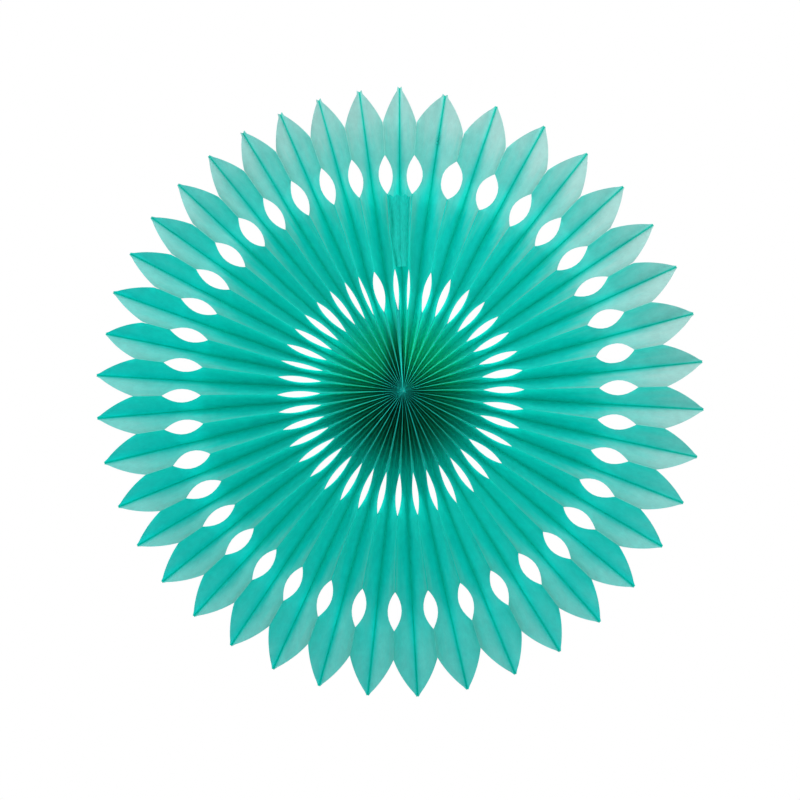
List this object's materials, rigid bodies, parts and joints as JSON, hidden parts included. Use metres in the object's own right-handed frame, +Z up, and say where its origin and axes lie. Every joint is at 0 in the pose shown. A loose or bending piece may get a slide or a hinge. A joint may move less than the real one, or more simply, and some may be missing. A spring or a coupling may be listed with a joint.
{
  "type": "paper fan rosette",
  "caption": "Round hanging decoration: a pleated, die cut strip of tissue paper opened into a full circle, with pointed petals and two rings of eye shaped holes.",
  "frame": {"origin": "centre of the fan in the plane of the wall that it hangs on", "axes": "+Z up as it hangs, +Y along the fan's axis into the wall, so the front faces -Y; +X to the right seen from the front"},
  "size_m": [0.3995, 0.0366, 0.3996],
  "materials": {
    "tissue": "dyed teal tissue paper, thin enough to let light through",
    "tape": "glued strip of the same tissue, faintly ribbed"
  },
  "bodies": {
    "root": {"pleated_sheet": "tissue", "seam_tape": "tape"}
  },
  "joints": []
}
